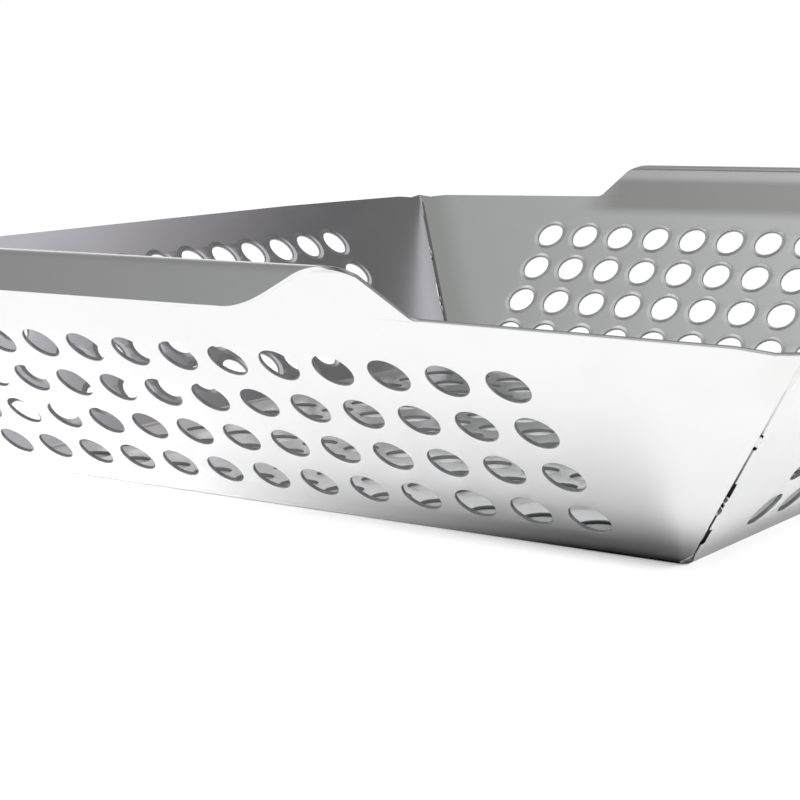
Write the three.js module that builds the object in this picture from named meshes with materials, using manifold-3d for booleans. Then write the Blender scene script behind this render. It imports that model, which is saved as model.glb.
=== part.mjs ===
// Grill topper: a square, flared basket of perforated stainless sheet with two folded handles.
// The real basket is one punched blank: the floor, four walls turned up at folds, a handle
// curled out of the front wall and another out of the back wall. The four corners are only
// tack welded, with an open seam between the tacks. Here the blank is divided along its folds
// and along the rim under each handle, so every panel, handle and weld is a part of its own.
// Millimetres, +Z up. The origin is the middle of the underside, on which the basket stands.
import * as THREE from 'three';
import { mergeGeometries, mergeVertices } from 'three/addons/utils/BufferGeometryUtils.js';
import Module from 'manifold-3d';

const wasm = await Module();
wasm.setup();

// Sheet and basket
const sheetThickness = 1.0;
const floorSide = 232; // underside, from fold line to fold line
const basketHeight = 60.5; // underside to rim
const flareDegrees = 42.5; // how far the walls lean out from upright
const foldRadius = 3.2; // outside of the fold between floor and wall
const panelSplit = 0.05; // hairline where the one sheet is divided into panels

// Perforation: one square grid on the floor and on every wall
const holeDiameter = 11;
const holePitch = 16;
const floorMargin = 18; // least distance from a fold line to a hole centre on the floor
const lowestRow = 14; // fold line to the lowest row of a wall, up the slope
const rimMargin = 18; // least distance from the rim to the top row
const holeSides = 8;

// Corner seams: front and back walls run to the corner, end walls stop short of them
const cornerGap = 0.3;
const cornerEase = 3.0; // height over which a wall's end leaves the fold for the corner
const notchDepth = 1.3; // of the deepest notch
const notchCentreShares = [0.155, 0.311, 0.39, 0.589, 0.6415]; // of the seam, from the floor up
const notchLengthShares = [0.075, 0.022, 0.075, 0.014, 0.017];
const notchDepthShares = [1, 0.55, 0.92, 0.6, 0.55];

// Handles
const footSpan = 162.6; // between the feet, along the rim
const shoulderSpan = 146.4; // where the sheet starts to curl outwards
const curlEndSpan = 125.4; // where the curl runs out into the flap
const flapEndSpan = 108.8; // along the flap's free edge
const tabHeight = 13.2; // flat of the tab above the rim
const curlRadius = 5.2; // inside of the curl
const flapLength = 9.8; // flat of the flap beyond the curl
const flapCornerRadius = 5;
const bendShare = 0.49; // how far the curl's edge draws in before it turns outwards
const footFillet = 1.6;
const arcSteps = 6;

// Tack welds in the corner seams
const tackCentreShares = [0.28, 0.338, 0.614, 0.905];
const tackLengthShares = [0.04, 0.023, 0.04, 0.15];
const tackReach = 1.7; // how far a tack runs out over the end wall
const tackCrown = 0.7; // how proud a tack stands of the corner
const tackSeat = 0.12; // clearance to the sheet
const tackEnd = 0.8; // rounding at each end of a tack
const crownShares = [0.25, 0.5, 0.75];

// Values that follow from the sizes above
const flare = THREE.MathUtils.degToRad(flareDegrees);
const foldAngle = Math.PI / 2 - flare;
const foldReach = foldRadius * Math.tan(foldAngle / 2);
const slopeLength = basketHeight / Math.cos(flare);
const seamLength = basketHeight * Math.hypot(1, Math.SQRT2 * Math.tan(flare));
const floorHalf = floorSide / 2 - foldReach;
const columns = Math.floor((floorSide - 2 * floorMargin) / holePitch) + 1;
const rows = Math.floor((slopeLength - lowestRow - rimMargin) / holePitch) + 1;
const cutDepth = 4 * sheetThickness; // overrun of every cutting tool through the sheet
const cornerTurn = Math.acos(Math.sin(flare) ** 2); // between the outsides of two walls
const endSetback = (sheetThickness + cornerGap) / Math.sin(cornerTurn);
const slantStretch = Math.hypot(1, Math.sin(flare)); // sideways shift for each unit of setback

const stainless = new THREE.MeshStandardMaterial({
  color: 0xc4c6c7,
  roughness: 0.3,
  metalness: 1,
});
const weldMetal = new THREE.MeshStandardMaterial({
  color: 0xa9a8a6,
  roughness: 0.45,
  metalness: 1,
});

// Turns a closed three.js geometry into a solid that can be joined and cut
function toSolid(geometry) {
  const bare = geometry.index ? geometry : mergeVertices(geometry);
  bare.deleteAttribute('normal');
  bare.deleteAttribute('uv');
  const merged = mergeVertices(bare);
  const vertProperties = new Float32Array(merged.attributes.position.array);
  const triVerts = new Uint32Array(merged.index.array);
  return new wasm.Manifold(new wasm.Mesh({ numProp: 3, vertProperties, triVerts }));
}

// Turns a solid back into a geometry
function toGeometry(solid) {
  const mesh = solid.getMesh();
  const geometry = new THREE.BufferGeometry();
  geometry.setAttribute('position', new THREE.BufferAttribute(mesh.vertProperties, 3));
  geometry.setIndex(new THREE.BufferAttribute(mesh.triVerts, 1));
  geometry.computeVertexNormals();
  return geometry;
}

function shapeOf(points) {
  return new THREE.Shape(points.map(([x, y]) => new THREE.Vector2(x, y)));
}

// Extrudes an outline upwards, centred on its own plane
function prism(shape, depth) {
  const geometry = new THREE.ExtrudeGeometry(shape, { depth, bevelEnabled: false });
  geometry.translate(0, 0, -depth / 2);
  return geometry;
}

// Extrudes a side view, given as (up the slope, outwards), along a wall
function rail(sideView, length) {
  const geometry = prism(sideView, length);
  const alongWall = new THREE.Matrix4().makeBasis(
    new THREE.Vector3(0, 1, 0),
    new THREE.Vector3(0, 0, 1),
    new THREE.Vector3(1, 0, 0),
  );
  return geometry.applyMatrix4(alongWall);
}

// Points of an arc round a centre, from one angle to another
function arc(centreX, centreY, radius, from, to) {
  const points = [];
  for (let step = 0; step <= arcSteps; step += 1) {
    const angle = THREE.MathUtils.lerp(from, to, step / arcSteps);
    points.push([centreX + radius * Math.cos(angle), centreY + radius * Math.sin(angle)]);
  }
  return points;
}

// The punches of a grid of holes. Each many-sided punch has the area of the round hole.
function punches(columnCount, rowCount, firstRow) {
  const turn = (2 * Math.PI) / holeSides;
  const radius = (holeDiameter / 2) * Math.sqrt(turn / Math.sin(turn));
  const tools = [];
  for (let column = 0; column < columnCount; column += 1) {
    for (let row = 0; row < rowCount; row += 1) {
      const punch = new THREE.CylinderGeometry(radius, radius, cutDepth, holeSides);
      punch.rotateX(Math.PI / 2);
      punch.rotateZ(turn / 2);
      const x = (column - (columnCount - 1) / 2) * holePitch;
      punch.translate(x, firstRow + row * holePitch, 0);
      tools.push(punch);
    }
  }
  return toSolid(mergeGeometries(tools));
}

// Adds a named part to a frame
function addPart(frame, name, geometry, material) {
  const mesh = new THREE.Mesh(geometry, material);
  mesh.name = name;
  frame.add(mesh);
  return mesh;
}

// Floor: a flat square panel that ends where the folds begin
function floorGeometry() {
  const half = floorHalf - panelSplit;
  const square = shapeOf([[-half, -half], [half, -half], [half, half], [-half, half]]);
  const panel = toSolid(prism(square, sheetThickness));
  const firstRow = (-(columns - 1) / 2) * holePitch;
  return toGeometry(panel.subtract(punches(columns, columns, firstRow)));
}

// Side view of a wall: the fold at the floor, then the straight slope up to the rim
function wallSideView() {
  const inner = foldRadius - sheetThickness;
  const floorSideAngle = Math.PI / 2 + foldAngle;
  const outside = arc(foldReach, -foldRadius, foldRadius, floorSideAngle, Math.PI / 2);
  const inside = arc(foldReach, -foldRadius, inner, Math.PI / 2, floorSideAngle);
  const rim = [[slopeLength, 0], [slopeLength, -sheetThickness]];
  return shapeOf([...outside, ...rim, ...inside]);
}

// Where a wall ends sideways at a height up the slope
function wallEnd(height, setback) {
  return floorSide / 2 + height * Math.sin(flare) - setback * slantStretch;
}

// One end of a wall as points from the fold up past the rim
function wallEndPoints(setback) {
  const easeTop = foldReach + cornerEase;
  const top = slopeLength + cutDepth;
  return [
    [floorHalf, -foldRadius],
    [floorHalf, foldReach],
    [wallEnd(easeTop, setback), easeTop],
    [wallEnd(top, setback), top],
  ];
}

// The cutters for the notches in both ends of an end wall, lying along the seams
function notchCutters(setback) {
  const lean = Math.atan(Math.sin(flare));
  const cutters = [];
  notchCentreShares.forEach((centreShare, index) => {
    const height = centreShare * slopeLength;
    const depth = notchDepthShares[index] * notchDepth;
    const length = notchLengthShares[index] * seamLength;
    for (const side of [-1, 1]) {
      const cutter = new THREE.BoxGeometry(2 * depth, length, cutDepth);
      cutter.rotateZ(-side * lean);
      cutter.translate(side * wallEnd(height, setback), height, 0);
      cutters.push(cutter);
    }
  });
  return toSolid(mergeGeometries(cutters));
}

// Wall: folded strip, trimmed to its outline and punched
function wallGeometry(setback, notched) {
  const rightEnd = wallEndPoints(setback);
  const leftEnd = rightEnd.map(([x, y]) => [-x, y]).reverse();
  const outline = toSolid(prism(shapeOf([...rightEnd, ...leftEnd]), 4 * foldRadius));
  const strip = toSolid(rail(wallSideView(), 2 * floorSide + 2 * slopeLength));
  const wall = strip.intersect(outline).subtract(punches(columns, rows, lowestRow));
  return toGeometry(notched ? wall.subtract(notchCutters(setback)) : wall);
}

// Side view of a handle: flat tab, curl outwards, flap. Heights are measured from the rim.
function handleSideView() {
  const outer = curlRadius + sheetThickness;
  const flapEnd = curlRadius + flapLength;
  return shapeOf([
    [panelSplit, 0],
    ...arc(tabHeight, curlRadius, curlRadius, -Math.PI / 2, 0),
    [tabHeight + curlRadius, flapEnd],
    [tabHeight + outer, flapEnd],
    ...arc(tabHeight, curlRadius, outer, 0, -Math.PI / 2),
    [panelSplit, -sheetThickness],
  ]);
}

// Face view of a handle: slanted sides that run into the rim with a small hollow
function handleFaceView() {
  const top = tabHeight + curlRadius + cutDepth;
  const slant = (footSpan - shoulderSpan) / 2 / tabHeight;
  const foot = footSpan / 2;
  const shape = new THREE.Shape();
  shape.moveTo(-foot - footFillet, 0);
  shape.quadraticCurveTo(-foot, 0, -foot + footFillet * slant, footFillet);
  shape.lineTo(-foot + top * slant, top);
  shape.lineTo(foot - top * slant, top);
  shape.lineTo(foot - footFillet * slant, footFillet);
  shape.quadraticCurveTo(foot, 0, foot + footFillet, 0);
  shape.closePath();
  return shape;
}

// Top view of a handle, along its flap: the sides draw in over the curl, the corners are round
function handleTopView() {
  const start = -sheetThickness - cutDepth;
  const end = curlRadius + flapLength;
  const slant = (curlEndSpan - flapEndSpan) / 2 / flapLength;
  const wide = footSpan / 2 + 2 * footFillet;
  const shoulder = shoulderSpan / 2;
  const curlEnd = curlEndSpan / 2;
  const flapEnd = flapEndSpan / 2;
  const bendX = THREE.MathUtils.lerp(shoulder, curlEnd, bendShare);
  const shape = new THREE.Shape();
  shape.moveTo(-wide, start);
  shape.lineTo(-wide, 0);
  shape.lineTo(-shoulder, 0);
  shape.quadraticCurveTo(-bendX, 0, -curlEnd, curlRadius);
  shape.lineTo(-flapEnd - flapCornerRadius * slant, end - flapCornerRadius);
  shape.quadraticCurveTo(-flapEnd, end, -flapEnd + flapCornerRadius, end);
  shape.lineTo(flapEnd - flapCornerRadius, end);
  shape.quadraticCurveTo(flapEnd, end, flapEnd + flapCornerRadius * slant, end - flapCornerRadius);
  shape.lineTo(curlEnd, curlRadius);
  shape.quadraticCurveTo(bendX, 0, shoulder, 0);
  shape.lineTo(wide, 0);
  shape.lineTo(wide, start);
  shape.closePath();
  return shape;
}

// Extrudes one of the handle's trimming outlines
function trimmingPrism(shape, depth) {
  const settings = { depth, bevelEnabled: false, curveSegments: arcSteps };
  const geometry = new THREE.ExtrudeGeometry(shape, settings);
  geometry.translate(0, 0, -depth / 2);
  return geometry;
}

// Handle: curled strip, trimmed in face view and in top view
function handleGeometry() {
  const reach = 4 * (curlRadius + flapLength + tabHeight);
  const strip = toSolid(rail(handleSideView(), 2 * footSpan));
  const face = toSolid(trimmingPrism(handleFaceView(), reach));
  const topView = trimmingPrism(handleTopView(), reach);
  const lookingDown = new THREE.Matrix4().makeBasis(
    new THREE.Vector3(-1, 0, 0),
    new THREE.Vector3(0, 0, 1),
    new THREE.Vector3(0, 1, 0),
  );
  const top = toSolid(topView.applyMatrix4(lookingDown));
  return toGeometry(strip.intersect(face).intersect(top));
}

// Cross-section of a tack. x runs past the end of the front or back wall, y into the basket.
function tackSection() {
  const wallLine = new THREE.Vector2(Math.cos(cornerTurn), Math.sin(cornerTurn));
  const outwards = new THREE.Vector2(wallLine.y, -wallLine.x);
  const edge = wallLine.clone().multiplyScalar(endSetback);
  const start = new THREE.Vector2(tackSeat, 0);
  const root = new THREE.Vector2(edge.x, sheetThickness + edge.y).divideScalar(2);
  const lip = edge.clone().addScaledVector(outwards, tackSeat);
  const end = lip.clone().addScaledVector(wallLine, tackReach);
  const crown = crownShares.map((share) => {
    const rise = 4 * share * (1 - share) * tackCrown;
    return end.clone().lerp(start, share).addScaledVector(outwards, rise);
  });
  const side = new THREE.Vector2(tackSeat, sheetThickness);
  return new THREE.Shape([start, ...crown.reverse(), end, lip, root, side]);
}

// Tack weld: a short bead with rounded ends that lies in the open corner of two walls
function tackGeometry(length) {
  const geometry = new THREE.ExtrudeGeometry(tackSection(), {
    depth: length - 2 * tackEnd,
    bevelEnabled: true,
    bevelSegments: 1,
    bevelThickness: tackEnd,
    bevelSize: tackSeat,
    bevelOffset: -tackSeat,
  });
  geometry.translate(0, 0, tackEnd - length / 2);
  return toGeometry(toSolid(geometry));
}

// A frame whose x runs along a wall, y up its slope and z out of it, for a wall that faces
// the given quarter turn from the front
function wallFrame(quarterTurns) {
  const turned = new THREE.Group();
  turned.rotation.z = (quarterTurns * Math.PI) / 2;
  const sloped = new THREE.Group();
  sloped.position.y = -floorSide / 2;
  sloped.rotation.x = Math.PI / 2 + flare;
  turned.add(sloped);
  basket.add(turned);
  return sloped;
}

// A frame for the tacks of one corner: z along the seam, y into the basket from the front or
// back wall. Side is 1 at that wall's right end and -1 at its left end.
function cornerFrame(wall, side) {
  const seam = new THREE.Vector3(side * Math.sin(flare), 1, 0).normalize();
  const inwards = new THREE.Vector3(0, 0, -1);
  const past = seam.clone().cross(inwards).multiplyScalar(-side);
  const frame = new THREE.Group();
  const basis = new THREE.Matrix4().makeBasis(past, inwards, seam.multiplyScalar(side));
  frame.position.x = (side * floorSide) / 2;
  frame.quaternion.setFromRotationMatrix(basis);
  wall.add(frame);
  return frame;
}

// Puts the tacks of one corner in its seam
function addTacks(wall, side, cornerName) {
  const frame = cornerFrame(wall, side);
  tackCentreShares.forEach((centreShare, index) => {
    const length = tackLengthShares[index] * seamLength;
    const name = `tack_${cornerName}_${index + 1}`;
    const tack = addPart(frame, name, tackGeometry(length), weldMetal);
    tack.position.z = side * centreShare * seamLength;
  });
}

const basket = new THREE.Group();

const floorFrame = new THREE.Group();
floorFrame.position.z = sheetThickness / 2;
basket.add(floorFrame);
addPart(floorFrame, 'floor_panel', floorGeometry(), stainless);

const handleWall = wallGeometry(0, false);
const endWall = wallGeometry(endSetback, true);
const handle = handleGeometry();

const sides = ['front', 'right', 'back', 'left'];
sides.forEach((side, quarterTurns) => {
  const frame = wallFrame(quarterTurns);
  const carriesHandle = side === 'front' || side === 'back';
  addPart(frame, `${side}_wall`, carriesHandle ? handleWall : endWall, stainless);
  if (carriesHandle) {
    const handlePart = addPart(frame, `${side}_handle`, handle, stainless);
    handlePart.position.y = slopeLength;
    const nearSide = side === 'front' ? 'right' : 'left';
    const farSide = side === 'front' ? 'left' : 'right';
    addTacks(frame, 1, `${side}_${nearSide}`);
    addTacks(frame, -1, `${side}_${farSide}`);
  }
});

export default basket;
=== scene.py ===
# %% [markdown]
# # A square grill basket folded from perforated stainless sheet
# The real basket starts as one flat blank of thin stainless sheet. A press punches a square grid
# of round holes in it, a brake folds up four walls and curls a handle out of two of them, and a
# few tack welds hold the open corners. There is nothing else: no rivets, no feet, no coating.
# So the picture rests on three things: clean holes with a real edge, folds that run smoothly from
# panel to panel, and steel that looks like steel.

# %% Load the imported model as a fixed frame
import math
import bmesh
import bpy
from mathutils import Matrix, Vector, noise


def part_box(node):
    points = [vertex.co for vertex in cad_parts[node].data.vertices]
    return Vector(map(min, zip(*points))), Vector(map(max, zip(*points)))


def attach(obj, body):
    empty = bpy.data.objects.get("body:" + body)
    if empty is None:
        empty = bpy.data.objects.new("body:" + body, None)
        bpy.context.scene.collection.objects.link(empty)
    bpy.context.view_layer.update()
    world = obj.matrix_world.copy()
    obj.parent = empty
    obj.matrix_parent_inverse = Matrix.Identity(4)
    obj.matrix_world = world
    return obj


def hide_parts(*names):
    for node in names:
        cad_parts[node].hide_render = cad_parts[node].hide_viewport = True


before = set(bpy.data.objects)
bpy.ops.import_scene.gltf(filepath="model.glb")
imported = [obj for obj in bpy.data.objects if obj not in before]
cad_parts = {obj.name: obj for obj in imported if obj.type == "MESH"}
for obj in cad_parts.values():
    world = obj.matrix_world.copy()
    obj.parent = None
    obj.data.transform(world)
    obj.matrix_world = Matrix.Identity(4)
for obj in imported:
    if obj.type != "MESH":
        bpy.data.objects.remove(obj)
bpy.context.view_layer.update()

print("nodes in the frame:", len(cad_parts))

# %% [markdown]
# ## Sizes
# Every piece here takes the place of a plain solid, so its size comes from that solid's box
# wherever the box tells it. What a box can't tell, such as a fold's radius or the grid of holes,
# is named once, in millimetres, as the maker's drawing would have it.

# %% Read the sheet, the lean and the fold line from the frame
MM = 0.001
flare = math.radians(42.5)
floor_low, floor_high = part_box("floor_panel")
wall_low, wall_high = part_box("front_wall")
handle_foot_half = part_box("front_handle")[1].x
sheet = floor_high.z - floor_low.z
rim_height = wall_high.z - sheet * math.sin(flare)
fold_line = -wall_low.y - rim_height * math.tan(flare)
slope_length = rim_height / math.cos(flare)
print("sheet", round(sheet / MM, 2), "mm, rim", round(rim_height / MM, 1), "mm high")
print("fold line", round(fold_line / MM, 1), "mm from the middle")

# %% Name the sizes that a box can't tell
fold_radius = 3.2 * MM
hole_radius = 5.3 * MM
pitch = 16 * MM
lowest_row = 14 * MM
columns = 13
rows = 4
burr = 0.16 * MM  # the soft edge that tumbling leaves on the cut sheet
bites = (  # notches in the corner: shares of the seam from the floor up, and depths
    (0.110, 0.191, 1.2 * MM),
    (0.300, 0.322, 0.6 * MM),
    (0.348, 0.425, 0.95 * MM),
    (0.582, 0.596, 0.7 * MM),
    (0.633, 0.650, 0.6 * MM),
)
print("holes in the blank:", columns * columns + 4 * columns * rows)

# %% [markdown]
# ## Shader maths
# A material is a sum of simple parts: fine lines, slow waves, a stain near a weld. Written as
# plain sums it reads like a recipe. This small class wraps one socket, so that a sum in the
# script becomes the Math nodes that work it out. One method adds every other kind of node.


# %% A socket that can be used in a sum
class Signal:
    """A number or a colour that flows through the nodes of a material."""

    def __init__(self, tree, socket=None):
        self.tree = tree
        self.socket = socket

    def node(self, kind, settings, sockets, output=0):
        """Adds a node. Its settings come first, then the values or links of its sockets."""
        made = self.tree.nodes.new(kind)
        for name, value in settings.items():
            if name == "stops":
                ramp = made.color_ramp.elements
                while len(ramp) < len(value):
                    ramp.new(0.5)
                for stop, (place, colour) in zip(ramp, value):
                    stop.position = place
                    stop.color = (*colour, 1.0)
            else:
                setattr(made, name, value)
        for name, value in sockets.items():
            if isinstance(value, Signal):
                self.tree.links.new(value.socket, made.inputs[name])
            else:
                made.inputs[name].default_value = value
        return Signal(self.tree, made.outputs[output] if made.outputs else None)

    def maths(self, operation, first, second=0.0):
        return self.node("ShaderNodeMath", {"operation": operation}, {0: first, 1: second})

    def __add__(self, other):
        return self.maths("ADD", self, other)

    __radd__ = __add__

    def __mul__(self, other):
        return self.maths("MULTIPLY", self, other)

    def __sub__(self, other):
        return self.maths("SUBTRACT", self, other)

    def __rsub__(self, other):
        return self.maths("SUBTRACT", other, self)

    def __abs__(self):
        return self.maths("ABSOLUTE", self)

    def least(self, other):
        return self.maths("MINIMUM", self, other)

    def most(self, other):
        return self.maths("MAXIMUM", self, other)

    def rounded(self):
        return self.maths("ROUND", self)

    def root(self):
        return self.maths("SQRT", self)

    def fade(self, start, end):
        """0 at start and 1 at end, smooth between them."""
        return self.node(
            "ShaderNodeMapRange",
            {"interpolation_type": "SMOOTHSTEP"},
            {"Value": self, "From Min": start, "From Max": end},
        )

    def band(self, start, full, still_full, end):
        """1 from full to still full, and 0 before the start and after the end."""
        return self.fade(start, full) * self.fade(end, still_full)

    def blend(self, first, second):
        """The first colour where this is 0 and the second where it is 1."""
        return self.node(
            "ShaderNodeMix",
            {"data_type": "RGBA"},
            {"Factor": self, 6: first, 7: second},
            output=2,
        )


def new_material(name):
    """An empty node material and the start of its signals."""
    material = bpy.data.materials.new(name)
    material.use_nodes = True
    material.node_tree.nodes.clear()
    return material, Signal(material.node_tree)


print("signals can be added, faded and blended")


# %% Name the nodes that every material uses
def object_place(start):
    return start.node("ShaderNodeTexCoord", {}, {}, output="Object")


def parts_of(start, vector, count=3):
    """The x, y and z of a vector, or the first few of them."""
    sockets = {"Vector": vector}
    return [
        start.node("ShaderNodeSeparateXYZ", {}, sockets, output=part) for part in range(count)
    ]


def noise_at(start, place, stretch, detail, roughness=0.5):
    """Noise over a place that is stretched by three numbers, in waves for each metre."""
    scaled = start.node("ShaderNodeMapping", {}, {"Vector": place, "Scale": stretch})
    sockets = {"Vector": scaled, "Scale": 1.0, "Detail": detail, "Roughness": roughness}
    return start.node("ShaderNodeTexNoise", {}, sockets, output="Fac")


def bumped(start, height, distance, under=None):
    """A normal tilted by a height, on top of another bump where one is given."""
    sockets = {"Height": height, "Distance": distance, "Strength": 1.0}
    if under is not None:
        sockets["Normal"] = under
    return start.node("ShaderNodeBump", {}, sockets)


def finish_steel(start, colour, roughness, normal):
    """Closes a material as bare metal."""
    sockets = {"Base Color": colour, "Metallic": 1.0, "Roughness": roughness, "Normal": normal}
    shader = start.node("ShaderNodeBsdfPrincipled", {}, sockets)
    start.node("ShaderNodeOutputMaterial", {}, {"Surface": shader})


print("shader helpers ready")

# %% [markdown]
# ## Where a point lies on the blank
# Wear and tooling marks belong to places on the flat sheet: round a hole, beside a seam, inside a
# slit. The walls only lean, so the place on the sheet follows from the object's coordinates. The
# larger of |x| and |y| tells how far out a wall point lies, the smaller one how far along. Two
# distances are enough for every mark: how deep a point lies under the outer skin of each of the
# two walls that meet at a corner, and how far it is from the middle of the nearest hole.

# %% Work out places on the sheet inside a material
corner_blur = 0.5 * MM
floor_end = (sheet + 0.6 * MM, sheet + 0.4 * MM)  # upwards, where the floor's grid gives way


def sheet_place(start, place):
    """How far out, how far along and how high a point lies, and 1 on the handled walls."""
    x, y, up = parts_of(start, place)
    handled = (abs(y) - abs(x)).fade(0, corner_blur)
    return abs(x).most(abs(y)), abs(x).least(abs(y)), up, handled


def up_slope(out, up):
    return (out - fold_line) * math.sin(flare) + up * math.cos(flare)


def under_skin(side, up):
    """0 on the outer skin of the wall on that side, and negative inside it."""
    return (side - fold_line) * math.cos(flare) - up * math.sin(flare)


def from_grid(signal, first, count):
    """The distance from the nearest of a row of places that are a pitch apart."""
    steps = ((signal - first) * (1 / pitch)).rounded().most(0).least(count - 1)
    return signal - first - steps * pitch


def from_hole(out, along, up):
    """The distance from the middle of the nearest hole."""
    half_count = (columns + 1) // 2
    on_floor = up.fade(*floor_end)
    first = from_grid(along, 0, half_count)
    on_wall = from_grid(up_slope(out, up), lowest_row, rows)
    second = on_floor * from_grid(out, 0, half_count) + (1 - on_floor) * on_wall
    return (first * first + second * second).root()


print("slope", round(slope_length / MM, 1), "mm long with", rows, "rows of holes")

# %% Find the black oxide and the painted shade inside the corner slits
cut_face = (-1.0 * MM, -0.9 * MM, -0.09 * MM, -0.03 * MM)  # the cut, by depth under the skin
inner_edge = (-0.8 * MM, -0.86 * MM)  # where the cut meets the inside
seam_run = (3 * MM, 5 * MM, rim_height - 4 * MM, rim_height - 3 * MM)
bite_blur = 0.2 * MM
slit_start = (-1.1 * MM, -1.2 * MM)  # behind the skin of the wall round the corner
slit_run = (0.85 * rim_height, 0.35 * rim_height)  # the soot thins out up the seam
flame_reach = (-4.2 * MM, -3.6 * MM)
inner_edge_reach = (-1.8 * MM, -1.7 * MM)
inner_edge_oxide_and_shade = 0.6


def slit_oxide_and_shade(out, along, up):
    """1 on the cut edges inside the corner slits, black from the welding flame's oxide and from
    painted shade.
    """
    own = under_skin(out, up)
    other = under_skin(along, up)
    bitten = 0
    for low_share, high_share, _ in bites:
        low, high = low_share * rim_height, high_share * rim_height
        bitten = up.band(low, low + bite_blur, high - bite_blur, high) + bitten
    slit = other.fade(*slit_start) * up.fade(*slit_run)
    # Oxide and painted shade on the cut faces in the slits and notches, a smaller share along the
    # inner edge.
    black = own.band(*cut_face) * other.fade(*flame_reach) * slit.most(bitten)
    edge = own.fade(*inner_edge) * other.fade(*inner_edge_reach)
    return up.band(*seam_run) * black.most(edge * inner_edge_oxide_and_shade)


print("soot in the slits and in", len(bites), "notches of each open seam")

# %% [markdown]
# ## Stainless sheet
# Rolled stainless is bright but never a mirror. Three things make it read as sheet metal: very
# fine lines in the rolling direction, a slow waviness that a press leaves in a flat panel, and a
# dull zone where the corners were welded and ground. The lines run along X over the whole blank,
# so they pass along the front wall and up the side walls, as on the flat sheet. The punch adds
# two more: a rougher, darker cut inside each hole, and a shallow dish round it on the inner side,
# where the punch went in. Inside the open slits of the corners the colour is black: oxide from
# the welding, and painted shade of the slit. Beside them on the handled walls a heat tint is
# painted, darkened as painted shade, and under each handle a darker band is painted shade. The
# dishes are
# only bumps: at this size their shading shows, and their depth doesn't.

# %% Choose the colours and the places of the marks
bright_sheet = (0.93, 0.93, 0.935, 1)
stained_sheet = (0.90, 0.895, 0.89, 1)
painted_rim_shade_sheet = (0.60, 0.595, 0.585, 1)
heat_tint_and_shade_sheet = (0.74, 0.75, 0.73, 1)
cut_sheet = (0.40, 0.40, 0.405, 1)
oxide_and_shade_black = (0.03, 0.028, 0.026, 1)
inner_skin = (-0.7 * MM, -0.9 * MM)  # by depth under the outer skin
above_fold = (1.6 * MM, 3 * MM)
stain_reach = (-9 * MM, -1 * MM)  # from the seam
heat_and_shade_reach = (-16 * MM, -4 * MM)
rim_shade_run = (-10 * MM, -4 * MM, 7 * MM, 11 * MM)  # up the slope, on both sides of the rim
rim_shade_end = (handle_foot_half + 8 * MM, handle_foot_half - 12 * MM)  # along the rim
dish_width = 1.9 * MM  # the shallow dish that the punch leaves round a hole on the inside
dish_depth = 0.19 * MM
wave_depth = 0.9 * MM
line_depth = 0.006 * MM
sheet_roughness = 0.165
print("the heat tint reaches", round(-heat_and_shade_reach[0] / MM), "mm from a seam")


# %% Mix the stainless finish
def stainless_sheet():
    material, start = new_material("brushed_stainless")
    place = object_place(start)
    lines = noise_at(start, place, (60, 9000, 60), detail=3.0, roughness=0.65)
    grain = noise_at(start, place, (1400, 1400, 1400), detail=2.0)
    waves = noise_at(start, place, (9, 9, 9), detail=0.0)
    blotches = noise_at(start, place, (70, 70, 70), detail=1.0).fade(0.4, 0.8)
    out, along, up, handled = sheet_place(start, place)
    hole_distance = from_hole(out, along, up)
    cut = hole_distance.fade(hole_radius + burr, hole_radius + 0.4 * burr)
    oxide_and_shade = slit_oxide_and_shade(out, along, up)
    from_seam = under_skin(along, up)
    inner_wall = under_skin(out, up).fade(*inner_skin) * up.fade(*above_fold)
    stain = (from_seam.fade(*stain_reach) * 0.6 + 0.4) * blotches
    # Heat tint beside the seams of the handled walls, darkened as painted shade.
    heat = from_seam.fade(*heat_and_shade_reach) * inner_wall * handled
    dish = hole_distance.fade(hole_radius, hole_radius + dish_width).most(1 - inner_wall)
    from_rim = up_slope(out, up) - slope_length
    rim_shade = from_rim.band(*rim_shade_run) * along.fade(*rim_shade_end) * handled
    colour = stain.blend(bright_sheet, stained_sheet)
    # Painted shade: a darker band on the inside under each handle.
    colour = (rim_shade * inner_wall).blend(colour, painted_rim_shade_sheet)
    colour = heat.blend(colour, heat_tint_and_shade_sheet)
    colour = cut.blend(colour, cut_sheet)
    # Black in the slits: oxide, and painted shade of the open slit.
    colour = oxide_and_shade.blend(colour, oxide_and_shade_black)
    roughness = sheet_roughness + lines * 0.05 + grain * 0.03 + stain * 0.04
    roughness = roughness + cut * 0.25 + oxide_and_shade * 0.4
    slow = bumped(start, waves, wave_depth)
    dished = bumped(start, dish, dish_depth, slow)
    fine = bumped(start, lines * 0.7 + grain * 0.3, line_depth, dished)
    finish_steel(start, colour, roughness, fine)
    return material


steel = stainless_sheet()
print(steel.name, "has", len(steel.node_tree.nodes), "nodes")

# %% [markdown]
# ## Weld metal
# A tack is a drop of molten steel that froze as it was pulled along. It was ground and wiped, so
# it is nearly as bright as the sheet: a little duller, softly rippled, and straw where it was
# hot. The low tacks hardly filled the slit, so the slit's shade is painted on them as a dark
# line.

# %% Mix the weld finish
wiped_weld = (0.90, 0.895, 0.885, 1)
straw_weld = (0.80, 0.75, 0.68, 1)
painted_slit_shade = (0.08, 0.075, 0.07, 1)
undercut_shade_band = (-1.15 * MM, -0.95 * MM, -0.4 * MM, -0.2 * MM)  # by depth under the skin
low_tacks_end = (0.45 * rim_height, 0.40 * rim_height)
ripple_depth = 0.05 * MM
weld_roughness = 0.26


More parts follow.
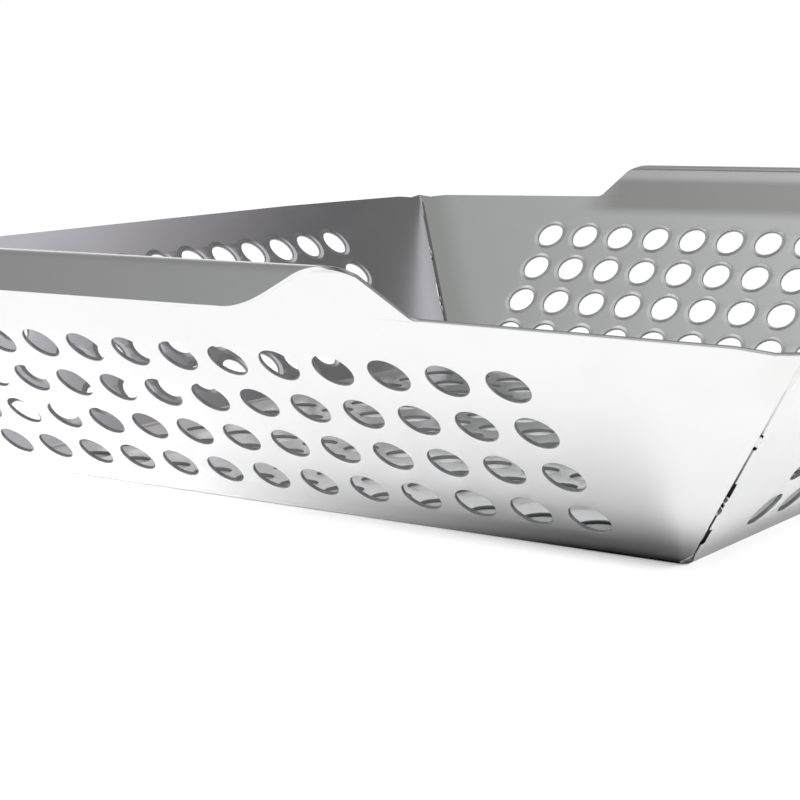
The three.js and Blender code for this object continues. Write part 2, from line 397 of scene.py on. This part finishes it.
def weld_metal():
    material, start = new_material("rippled_weld")
    place = object_place(start)
    ripples = noise_at(start, place, (900, 900, 900), detail=2.0)
    heat = noise_at(start, place, (300, 300, 300), detail=2.0).fade(0.45, 0.8)
    _, along, up, _ = sheet_place(start, place)
    # Painted shade: the dark line of the slit runs on along the low tacks.
    undercut_shade = under_skin(along, up).band(*undercut_shade_band) * up.fade(*low_tacks_end)
    colour = undercut_shade.blend(heat.blend(wiped_weld, straw_weld), painted_slit_shade)
    roughness = weld_roughness + ripples * 0.16
    finish_steel(start, colour, roughness, bumped(start, ripples, ripple_depth))
    return material


weld = weld_metal()
print(weld.name, "has", len(weld.node_tree.nodes), "nodes")

# %% [markdown]
# ## From bmesh to a piece
# Each piece is modelled lying flat, where its sizes are simple, and then turned into its place.
# The place goes into the mesh, so that the object itself stays unturned at the origin. Weighted
# normals let the wide flat faces rule the shading, so the small soft edges look rounded.

# %% Turn a bmesh into a finished piece
merge_distance = 0.001 * MM
sharp_angle = math.radians(50)


def finish_piece(bm, name, node, material, place):
    bmesh.ops.remove_doubles(bm, verts=bm.verts[:], dist=merge_distance)
    bmesh.ops.recalc_face_normals(bm, faces=bm.faces[:])
    bmesh.ops.transform(bm, matrix=place, verts=bm.verts[:])
    mesh = bpy.data.meshes.new(name)
    bm.to_mesh(mesh)
    bm.free()
    mesh.shade_smooth()
    mesh.set_sharp_from_angle(angle=sharp_angle)
    mesh.materials.append(material)
    piece = bpy.data.objects.new(name, mesh)
    bpy.context.scene.collection.objects.link(piece)
    weighted = piece.modifiers.new("weighted_normals", "WEIGHTED_NORMAL")
    weighted.keep_sharp = True
    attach(piece, "root")
    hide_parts(node)
    print(name, "faces:", len(mesh.polygons))


# %% [markdown]
# ## Punched sheet
# A boolean could cut the holes, but it leaves ragged faces and takes long for hundreds of them.
# Here each hole starts as a circle on the front face. Its edge is extruded down through the sheet
# in three steps: a soft edge, the cut wall, and a soft edge again. The outline of the panel is
# made the same way. Then the front and the back are each filled in one go round all the holes.

# %% Cut one hole through the sheet
hole_sides = 20
hole_steps = (  # growth of the circle and depth of each step through the sheet
    (hole_radius / (hole_radius + burr), burr),
    (1, sheet - 2 * burr),
    ((hole_radius + burr) / hole_radius, burr),
)


def without_repeats(parts):
    """Each part once, always in the same order, which a set wouldn't keep."""
    return list(dict.fromkeys(parts))


def new_verts(made):
    return [part for part in made["geom"] if isinstance(part, bmesh.types.BMVert)]


def new_rim(made):
    """The new edges that still have a face on one side only."""
    kept = [part for part in made["geom"] if isinstance(part, bmesh.types.BMEdge)]
    return [edge for edge in kept if edge.is_boundary]


def punch(bm, x, y):
    """The wall of a hole with its soft edges. Gives its front and its back edge loop."""
    place = Matrix.Translation((x, y, 0))
    away = Matrix.Translation((-x, -y, 0))
    circle = bmesh.ops.create_circle(
        bm, segments=hole_sides, radius=hole_radius + burr, matrix=place
    )
    front = without_repeats(edge for vert in circle["verts"] for edge in vert.link_edges)
    edges = front
    for growth, drop in hole_steps:
        made = bmesh.ops.extrude_edge_only(bm, edges=edges)
        verts, edges = new_verts(made), new_rim(made)
        bmesh.ops.scale(bm, vec=(growth, growth, 1), space=away, verts=verts)
        bmesh.ops.translate(bm, vec=(0, 0, -drop), verts=verts)
    return front, edges


print("a hole has", hole_sides * len(hole_steps), "faces")


# %% Make a flat panel with its holes
def outline_loop(bm, points, depth):
    verts = [bm.verts.new((x, y, -depth)) for x, y in points]
    return [bm.edges.new(pair) for pair in zip(verts, verts[1:] + verts[:1])]


def punched_panel(outline, centres):
    """A panel whose outline is a function of the inset of its soft edges."""
    bm = bmesh.new()
    levels = ((burr, 0), (0, burr), (0, sheet - burr), (burr, sheet))
    loops = [outline_loop(bm, outline(inset), depth) for inset, depth in levels]
    for upper, lower in zip(loops, loops[1:]):
        bmesh.ops.bridge_loops(bm, edges=upper + lower)
    front, back = list(loops[0]), list(loops[-1])
    for x, y in centres:
        hole_front, hole_back = punch(bm, x, y)
        front += hole_front
        back += hole_back
    for edges in (front, back):
        bmesh.ops.triangle_fill(bm, use_beauty=True, edges=edges, normal=(0, 0, 1))
    return bm


def grid_centres(row_count, first_row):
    across = [(column - (columns - 1) / 2) * pitch for column in range(columns)]
    return [(x, first_row + row * pitch) for x in across for row in range(row_count)]


print("holes in a wall:", len(grid_centres(rows, lowest_row)))

# %% [markdown]
# ## The floor
# The floor is the plain middle of the blank. A narrow flat lip of it is made together with each
# wall, because a fold shades smoothly only if its last face lies flat on each side.

# %% Make the floor panel
fold_angle = math.pi / 2 - flare
fold_reach = fold_radius * math.tan(fold_angle / 2)
flat_half = fold_line - fold_reach
floor_lip = 1.0 * MM


def floor_outline(inset):
    """The floor's edge meets the lips face to face, so it has no soft edge and no inset."""
    half = flat_half - floor_lip
    return [(-half, -half), (half, -half), (half, half), (-half, half)]


floor_centres = grid_centres(columns, -(columns - 1) / 2 * pitch)
floor_bm = punched_panel(floor_outline, floor_centres)
floor_place = Matrix.Translation((0, 0, floor_high.z))
finish_piece(floor_bm, "punched_floor", "floor_panel", steel, floor_place)

# %% [markdown]
# ## The walls
# A wall is a punched panel with slanted ends. The front and back walls run right to the corner.
# The end walls stop a gap short of it, and their ends are nibbled where the corner was left open,
# which shows as a row of dark slots, shallower at the back. Welding pulled the rim down a little
# towards each corner, and the grinding after it left a dip. Below, the end face of the panel is
# spun round the fold line, as a brake bends it, and drawn out into the floor's lip.

# %% Describe where a wall ends at the corner
corner_gap = 0.08 * MM
corner_ease = 3.0 * MM  # height over which a wall's end leaves the fold for the corner
corner_turn = math.acos(math.sin(flare) ** 2)  # between the outsides of two walls
end_setback = (sheet + corner_gap) / math.sin(corner_turn)
slant_stretch = math.hypot(1, math.sin(flare))  # sideways shift for each unit of setback
bite_slope_share = 0.03  # of a notch's length, for each of its slanted ends


def end_x(height, setback):
    return fold_line + height * math.sin(flare) - setback * slant_stretch


def wall_end(setback, inset, bite_share):
    """One end of a wall as points from the fold up to the rim."""
    eased = fold_reach + corner_ease
    points = [(flat_half, fold_reach), (end_x(eased, setback + inset), eased)]
    for low, high, full_depth in bites if bite_share else ():
        depth = full_depth * bite_share
        start, end = low * slope_length, high * slope_length
        slope = (end - start) * bite_slope_share
        points += [
            (end_x(start, setback + inset), start),
            (end_x(start + slope, setback + inset + depth), start + slope),
            (end_x(end - slope, setback + inset + depth), end - slope),
            (end_x(end, setback + inset), end),
        ]
    return points


print("two walls meet at", round(math.degrees(corner_turn), 1), "degrees")

# %% Describe the rim and close the outline
dip_depth = 1.0 * MM
dip_reach = 6.5 * MM  # from the corner to the lowest point of the dip
dip_shares = ((0, 0), (0.5, 0.5), (1, 1), (1.5, 0.5), (2.2, 0))  # of the reach and the depth
rim_fall = 1.5 * MM
rim_fall_start = handle_foot_half + 2 * MM


def wall_rim(setback, inset, handle_half):
    """The right half of the rim, from the corner to the handle or to the middle."""
    top = slope_length - inset
    corner = end_x(slope_length - rim_fall, setback + inset)
    points = []
    for reach_share, dip_share in dip_shares:
        x = corner - dip_reach * reach_share
        fallen = rim_fall * (x - rim_fall_start) / (corner - rim_fall_start)
        points.append((x, top - fallen - dip_depth * dip_share))
    points.append((rim_fall_start, top))
    if handle_half:
        points += [(handle_half, top), (handle_half - burr, slope_length)]
    return points


def wall_outline_of(setback, end_shares, handle_half):
    """The outline as a function of its inset. The shares scale the notches, right end first."""

    def outline(inset):
        rim = wall_rim(setback, inset, handle_half)
        right, left = (wall_end(setback, inset, share) + rim for share in end_shares)
        return right + [(-x, y) for x, y in reversed(left)]

    return outline


print("the rim falls by", round(rim_fall / MM, 1), "mm to each corner")

# %% Fold a wall out of its panel
fold_steps = 8
touch = 0.01 * MM  # what still counts as lying on a line


def fold_down(bm):
    """Spins the lower end face of a panel round the fold and draws out the floor's lip."""
    low = fold_reach + touch
    faces = [face for face in bm.faces if all(vert.co.y < low for vert in face.verts)]
    rim = without_repeats(edge for face in faces for edge in face.edges)
    corners = without_repeats(vert for face in faces for vert in face.verts)
    bent = bmesh.ops.spin(
        bm,
        geom=faces + rim + corners,
        cent=(0, fold_reach, -fold_radius),
        axis=(1, 0, 0),
        angle=fold_angle,
        steps=fold_steps,
        use_duplicate=False,
    )
    last = [part for part in bent["geom_last"] if isinstance(part, bmesh.types.BMFace)]
    drawn = bmesh.ops.extrude_face_region(bm, geom=last)
    bmesh.ops.delete(bm, geom=last, context="FACES_ONLY")
    inward = (0, -floor_lip * math.cos(fold_angle), -floor_lip * math.sin(fold_angle))
    bmesh.ops.translate(bm, vec=inward, verts=new_verts(drawn))


def wall_place(quarter_turns):
    """x runs along the wall, y up its slope and z out of it."""
    turned = Matrix.Rotation(quarter_turns * math.pi / 2, 4, "Z")
    leaned = Matrix.Rotation(math.pi / 2 + flare, 4, "X")
    return turned @ Matrix.Translation((0, -fold_line, 0)) @ leaned


print("a fold turns", round(math.degrees(fold_angle), 1), "degrees in", fold_steps, "steps")

# %% Make the four walls
wall_centres = grid_centres(rows, lowest_row)
back_share = 0.35  # at the back corners the weld ran deeper into the notches
bite_shares = {"right": (back_share, 1), "left": (1, back_share)}
for quarter_turns, side in enumerate(("front", "right", "back", "left")):
    if side in bite_shares:
        outline = wall_outline_of(end_setback, bite_shares[side], 0)
    else:
        outline = wall_outline_of(0, (0, 0), handle_foot_half)
    wall_bm = punched_panel(outline, wall_centres)
    fold_down(wall_bm)
    finish_piece(wall_bm, side + "_sheet", side + "_wall", steel, wall_place(quarter_turns))

# %% [markdown]
# ## The handles
# A handle is a tongue of the same blank: a tab that goes on up from the wall, a curl that turns
# outwards, and a flap that ends the curl. The tongue narrows all the way. A flat grid is the
# easiest start: each of its rows gets the tongue's width at that height and is then laid round
# the curl. Solidify gives it the sheet's thickness and a bevel softens the cut edge.

# %% Describe the tongue
tab_height = 13.18 * MM
curl_radius = 5.2 * MM
flap_length = 9.8 * MM
foot_fillet = 1.6 * MM
foot_half = handle_foot_half - foot_fillet
shoulder_half = 73.2 * MM
curl_end_half = 62.7 * MM
flap_end_half = 54.4 * MM
flap_corner = 5 * MM
bend_share = 0.49  # how far the curl's edge draws in before it turns outwards
middle_radius = curl_radius + sheet / 2
curl_length = middle_radius * math.pi / 2
curl_end = tab_height + curl_length
tongue_length = curl_end + flap_length
print("the tongue is", round(tongue_length / MM, 1), "mm long when it lies flat")


# %% Work out how wide the tongue is
def bezier(start, control, end, t):
    return (1 - t) ** 2 * start + 2 * t * (1 - t) * control + t**2 * end


def tongue_half_width(along):
    """Half the tongue's width at a distance along it from the rim."""
    tab_slant = (foot_half - shoulder_half) / tab_height
    if along < foot_fillet:
        t = math.sqrt(along / foot_fillet)
        return bezier(handle_foot_half, foot_half, foot_half - foot_fillet * tab_slant, t)
    if along < tab_height:
        return foot_half - along * tab_slant
    if along < curl_end:
        t = math.sqrt(1 - math.cos((along - tab_height) / middle_radius))
        bend = shoulder_half + (curl_end_half - shoulder_half) * bend_share
        return bezier(shoulder_half, bend, curl_end_half, t)
    out = along - curl_end
    flap_slant = (curl_end_half - flap_end_half) / flap_length
    left = flap_length - out
    if left > flap_corner:
        return curl_end_half - out * flap_slant
    t = 1 - math.sqrt(max(left, 0) / flap_corner)
    round_start = flap_end_half + flap_corner * flap_slant
    return bezier(round_start, flap_end_half, flap_end_half - flap_corner, t)


print("its foot is", round(2 * tongue_half_width(0) / MM, 1), "mm wide")

# %% Lay the tongue round the curl
foot_rows, tab_rows, curl_rows, flap_rows, corner_rows = 8, 4, 14, 3, 8


def tongue_place(along):
    """Height above the rim and distance outwards of the outer face at a distance along it."""
    if along < tab_height:
        return along, 0
    if along < curl_end:
        turn = (along - tab_height) / middle_radius
        return (
            tab_height + curl_radius * math.sin(turn),
            curl_radius - curl_radius * math.cos(turn),
        )
    return tab_height + curl_radius, curl_radius + along - curl_end


def spread(start, end, count, power=1):
    """Places from a start up to an end, which is left out."""
    return [start + (end - start) * (step / count) ** power for step in range(count)]


def tongue_rows():
    """Places along the tongue, close together where its side curves."""
    corner_places = [(1 - step / corner_rows) ** 2 for step in range(corner_rows + 1)]
    return (
        spread(0, foot_fillet, foot_rows, power=2)
        + spread(foot_fillet, tab_height, tab_rows)
        + spread(tab_height, curl_end, curl_rows)
        + spread(curl_end, tongue_length - flap_corner, flap_rows)
        + [tongue_length - flap_corner * share for share in corner_places]
    )


print("rows along the tongue:", len(tongue_rows()))

# %% Make both handles
tongue_columns = 12
cut_angle = math.radians(60)  # a turn this sharp is a cut edge, and less is the curl


def handle_bmesh():
    stations = tongue_rows()
    last_row = len(stations) - 1
    bm = bmesh.new()
    bmesh.ops.create_grid(bm, x_segments=tongue_columns, y_segments=last_row, size=0.5)
    for vert in bm.verts:
        along = stations[round((vert.co.y + 0.5) * last_row)]
        height, out = tongue_place(along)
        x = 2 * vert.co.x * tongue_half_width(along)
        vert.co = (x, slope_length + height, out)
    bmesh.ops.recalc_face_normals(bm, faces=bm.faces[:])
    upward = sum(face.normal.z + face.normal.y for face in bm.faces)
    thickness = -sheet if upward < 0 else sheet  # solidify grows along the normals
    bmesh.ops.solidify(bm, geom=bm.faces[:], thickness=thickness)
    bm.normal_update()
    cut_edges = [
        edge
        for edge in bm.edges
        if edge.calc_face_angle(0) > cut_angle
        and any(vert.co.y > slope_length + touch for vert in edge.verts)
    ]
    bmesh.ops.bevel(
        bm, geom=cut_edges, offset=burr, segments=2, profile=0.5, affect="EDGES", material=-1
    )
    return bm


for quarter_turns, side in ((0, "front"), (2, "back")):
    place = wall_place(quarter_turns)
    finish_piece(handle_bmesh(), side + "_tongue", side + "_handle", steel, place)

# %% [markdown]
# ## The tack welds
# Each tack starts as a small sphere stretched along the seam. Noise pushes its skin in and out,
# so no two look alike, and it sinks into both walls, as weld metal does. The three low tacks lie
# almost flush in the slit. The topmost tack is long and was ground flat.

# %% Describe the tacks
tack_shares = ((0.28, 0.04), (0.338, 0.023), (0.614, 0.04), (0.905, 0.15))  # middle and length
tack_half_width = 1.0 * MM
tack_half_height = 0.7 * MM
tack_sink = 0.85 * MM
ground_sink = 0.75 * MM
tack_shift = 0.55 * tack_half_width  # towards the end wall, over the slit
ripple_share = 0.16
ripple_waves = 2.2
seam_length = rim_height * math.hypot(1, math.sqrt(2) * math.tan(flare))
print("seam", round(seam_length / MM, 1), "mm long with", len(tack_shares), "tacks")


# %% Find a place on a seam and shape a tack
def seam_place(share, side_x, side_y):
    """z runs up the seam, x out of the corner. Gives the frame at a share of the seam."""
    lean = math.tan(flare)
    up = Vector((side_x * lean, side_y * lean, 1)).normalized()
    out = Vector((side_x * math.cos(flare), side_y * math.cos(flare), -2 * math.sin(flare)))
    out = (out - up * out.dot(up)).normalized()
    across = up.cross(out)
    height = share * rim_height
    corner = fold_line + height * lean
    place = Matrix((out, across, up)).transposed().to_4x4()
    place.translation = (side_x * corner, side_y * corner, height)
    return place


def tack_bmesh(length, sink, shift, seed):
    bm = bmesh.new()
    bmesh.ops.create_icosphere(bm, subdivisions=3, radius=1.0)
    for vert in bm.verts:
        bulge = noise.noise(vert.co * ripple_waves + Vector((seed, 0, 0)))
        ripple = 1 + ripple_share * bulge
        vert.co = (
            vert.co.x * tack_half_height * ripple - sink,
            vert.co.y * tack_half_width * ripple + shift,
            vert.co.z * length / 2,
        )
    return bm


# %% Make the tacks of all four corners
corners = (
    ("front_right", 1, -1),
    ("front_left", -1, -1),
    ("back_left", -1, 1),
    ("back_right", 1, 1),
)
for number, (corner_name, side_x, side_y) in enumerate(corners):
    shift = -side_x * side_y * tack_shift
    for index, (share, length_share) in enumerate(tack_shares):
        sink = ground_sink if index == len(tack_shares) - 1 else tack_sink
        seed = 10 * number + index
        bead = tack_bmesh(length_share * seam_length, sink, shift, seed)
        label = f"{corner_name}_{index + 1}"
        place = seam_place(share, side_x, side_y)
        finish_piece(bead, "bead_" + label, "tack_" + label, weld, place)

# %% [markdown]
# ## Floor, light and camera
# Steel shows what stands round it, so the light is really a picture for the steel to mirror. The
# outside of the walls leans over the floor and mirrors it: white further out, dark close to the
# foot. The inside mirrors the room: a white horizon, grey walls that are darkest behind the
# basket, and in them a ceiling, a shelf, a doorway and a window. The room has a faint tint that
# changes with height. A lamp could do the same, but a lamp lights everything, and a painted patch
# only what mirrors it. Two soft lamps light the floor beside the basket, which the walls mirror.
# The steel doesn't mirror the lamps themselves, because from some side that would burn a wall or
# the basket's floor out to white. The eye sees a plain white floor and backdrop, and the floor
# keeps the basket's shadow.

# %% Choose where the floor is light and dark
paper_white = (0.93, 0.93, 0.93, 1)
black = (0, 0, 0, 1)
glow_strength = 1.05
shadow_end = (-4 * MM, 12 * MM)  # from the fold line outwards, as all that follow
lit_front = (0, 42 * MM)
lit_side = (2 * MM, 48 * MM)
front_blur = (-2 * MM, 2 * MM)
front_shade = ((13.5 * MM, 2 * MM, 0.83), (2.5 * MM, 0, 0.17))  # start, full and its share
side_shade = (8 * MM, 1 * MM, 0.6)
covered_shade = (-2 * MM, -12 * MM, 0.42)  # under the basket
shade_start = (-50 * MM, 100 * MM)  # along x: the shade lies on the right
print("the steel mirrors a white floor from", round(lit_front[1] / MM), "mm out in front")


# %% Mix the floor's paper
def seen_directly(start):
    """Two signals: 1 where the camera sees the floor itself, and 1 where it sees it in steel."""
    names = ("Is Camera Ray", "Is Glossy Ray", "Diffuse Depth")
    camera_ray, glossy_ray, bounces = (
        start.node("ShaderNodeLightPath", {}, {}, output=name) for name in names
    )
    return camera_ray, glossy_ray * (1 - bounces.least(1))


def shaded(signal, start, full, share):
    return signal.fade(start, full) * share


def floor_material():
    """Plain white to the eye beside the basket. In the steel it is dark close to the foot."""
    material, start = new_material("studio_floor")
    straight, in_steel = seen_directly(start)
    x, y = parts_of(start, object_place(start), 2)
    from_front = abs(y) - fold_line
    from_side = abs(x) - fold_line
    away = from_front.most(from_side)
    lit = from_front.fade(*lit_front).most(from_side.fade(*lit_side))
    white = away.fade(*shadow_end) * straight + lit * in_steel
    in_front = (from_front - from_side).fade(*front_blur)
    wide, narrow = (shaded(away, *shade) for shade in front_shade)
    foot_shade = (wide + narrow) * in_front + shaded(away, *side_shade) * (1 - in_front)
    mirrored = foot_shade * x.fade(*shade_start) * in_steel
    # Painted shadow: the paper is darker close to the foot, where the steel mirrors it, and under
    # the basket.
    colour = mirrored.most(shaded(away, *covered_shade)).blend(paper_white, black)
    paper = start.node("ShaderNodeBsdfDiffuse", {}, {"Color": colour})
    light = {"Color": (1, 1, 1, 1), "Strength": glow_strength}
    glow = start.node("ShaderNodeEmission", {}, light)
    both = start.node("ShaderNodeMixShader", {}, {0: white, 1: paper, 2: glow})
    start.node("ShaderNodeOutputMaterial", {}, {"Surface": both})
    return material


# %% Lay the floor
floor_half = 10  # metres
ground_bm = bmesh.new()
bmesh.ops.create_grid(ground_bm, x_segments=1, y_segments=1, size=floor_half)
ground_mesh = bpy.data.meshes.new("studio_ground")
ground_bm.to_mesh(ground_mesh)
ground_bm.free()
ground_mesh.materials.append(floor_material())
ground = bpy.data.objects.new("studio_ground", ground_mesh)
bpy.context.scene.collection.objects.link(ground)
print("the studio floor is", 2 * floor_half, "m wide")

# %% Give the room its levels of light
world = bpy.data.worlds.new("studio")
world.use_nodes = True
world.node_tree.nodes.clear()
bpy.context.scene.world = world
sky = Signal(world.node_tree)
direction = sky.node("ShaderNodeTexCoord", {}, {}, output="Generated")
x, y, height = parts_of(sky, direction)
plain = (1.0, 1.0, 1.01)
lilac = (0.985, 0.97, 1.06)
warm = (1.05, 0.98, 0.96)
green = (0.985, 1.01, 1.0)
back_stops = (  # height, level and tint: a dark band stands behind the basket
    (0.0, 1.0, plain), (0.24, 1.0, plain), (0.36, 0.20, plain), (0.46, 0.08, plain),
    (0.56, 0.24, plain), (0.585, 0.14, plain), (0.605, 0.05, plain), (0.65, 0.06, plain),
    (0.675, 0.16, warm), (0.735, 0.70, lilac), (0.80, 0.44, lilac), (0.85, 0.58, lilac),
)
side_stops = (  # elsewhere the room is a plain grey
    (0.0, 1.0, plain), (0.24, 1.0, plain), (0.36, 0.34, green), (0.46, 0.25, green),
    (0.62, 0.24, plain), (0.72, 0.30, plain), (0.78, 0.33, green), (0.86, 0.46, green),
    (0.90, 0.56, green),
)


def ramp(signal, stops):
    """Levels of light, each with its tint, at places between 0 and 1."""
    shades = [(place, tuple(level * part for part in tint)) for place, level, tint in stops]
    return sky.node("ShaderNodeValToRGB", {"stops": shades}, {"Fac": signal})


behind = y.fade(0.1, 0.5) * x.fade(-0.45, -0.1)
room = behind.blend(ramp(height, side_stops), ramp(height, back_stops))
print("levels behind the basket:", len(back_stops), "and elsewhere:", len(side_stops))

# %% Paint what stands in the room
# A mask tells where a thing stands: its numbers are the x, y and height of the unit vector that
# points at it. The comment beside its light names the steel that mirrors it.
ceiling = y.band(-0.05, 0.05, 0.2, 0.3) * height.fade(0.77, 0.80)
low_shelf = x.band(-0.62, -0.59, -0.47, -0.40) * y.fade(0.70, 0.76) * height.fade(0.235, 0.185)
doorway = x.band(-0.3, -0.2, -0.08, 0.03) * y.fade(0.6, 0.68) * height.fade(0.63, 0.66)
window = x.fade(-0.1, -0.4) * y.fade(-0.24, -0.36) * height.fade(0.78, 0.72)
dark_front = x.fade(-0.35, -0.05) * y.fade(0.0, -0.35) * height.fade(0.72, 0.5)
right_side = x.fade(0.45, 0.85) * height.fade(0.5, 0.3)
camera_ray = sky.node("ShaderNodeLightPath", {}, {}, output="Is Camera Ray")
furniture = (
    (ceiling, (0.16, 0.16, 0.16, 1)),  # by way of the floor, in the back wall
    (low_shelf, (0.16, 0.16, 0.16, 1)),  # in the floor
    (doorway, (0.56, 0.53, 0.52, 1)),  # in the left wall
    (window, (0.80, 0.80, 0.82, 1)),  # in the dishes round the far holes
    (dark_front, (0.05, 0.05, 0.05, 1)),  # in the cut edges
    (right_side, (0.50, 0.50, 0.51, 1)),  # in the left wall from above
    (camera_ray, (1, 1, 1, 1)),  # the white backdrop itself
)
for mask, light in furniture:
    room = mask.blend(room, light)
light_of_sky = sky.node("ShaderNodeBackground", {}, {"Color": room, "Strength": 1.0})
sky.node("ShaderNodeOutputWorld", {}, {"Surface": light_of_sky})
print("world has", len(world.node_tree.nodes), "nodes")


# %% Set the lamps
def soft_lamp(name, place, aim, size, power, spread):
    light = bpy.data.lights.new(name, "AREA")
    light.shape = "RECTANGLE"
    light.size, light.size_y = size
    light.energy = power
    light.spread = math.radians(spread)
    lamp = bpy.data.objects.new(name, light)
    lamp.location = place
    lamp.rotation_euler = (Vector(aim) - Vector(place)).to_track_quat("-Z", "Y").to_euler()
    lamp.visible_glossy = False
    bpy.context.scene.collection.objects.link(lamp)
    print(name, "gives", power, "W")


soft_lamp(
    "key_lamp",
    place=(-0.50, -0.42, 0.20),
    aim=(-0.20, -0.15, 0),
    size=(0.25, 0.2),
    power=0.6,
    spread=40,
)
soft_lamp(
    "side_lamp",
    place=(0.95, 0.45, 0.40),
    aim=(0.12, 0, 0),
    size=(0.5, 0.4),
    power=9,
    spread=140,
)

# %% Place the camera
camera_place = Vector((0.3233, -0.4935, 0.1128))
camera_azimuth = math.radians(35.87)
camera_elevation = math.radians(9.74)
camera_roll = math.radians(-1.17)
looking = Vector((
    -math.sin(camera_azimuth) * math.cos(camera_elevation),
    math.cos(camera_azimuth) * math.cos(camera_elevation),
    -math.sin(camera_elevation),
))
camera_data = bpy.data.cameras.new("camera")
camera_data.lens = 87.0
camera_data.shift_x = -0.0625
camera = bpy.data.objects.new("camera", camera_data)
upright = looking.to_track_quat("-Z", "Y").to_matrix().to_4x4()
camera.matrix_world = (
    Matrix.Translation(camera_place) @ upright @ Matrix.Rotation(camera_roll, 4, "Z")
)
bpy.context.scene.collection.objects.link(camera)
bpy.context.scene.camera = camera
bpy.context.scene.view_settings.view_transform = "Standard"
print("the camera is", round(camera_place.length, 2), "m from the middle of the basket")
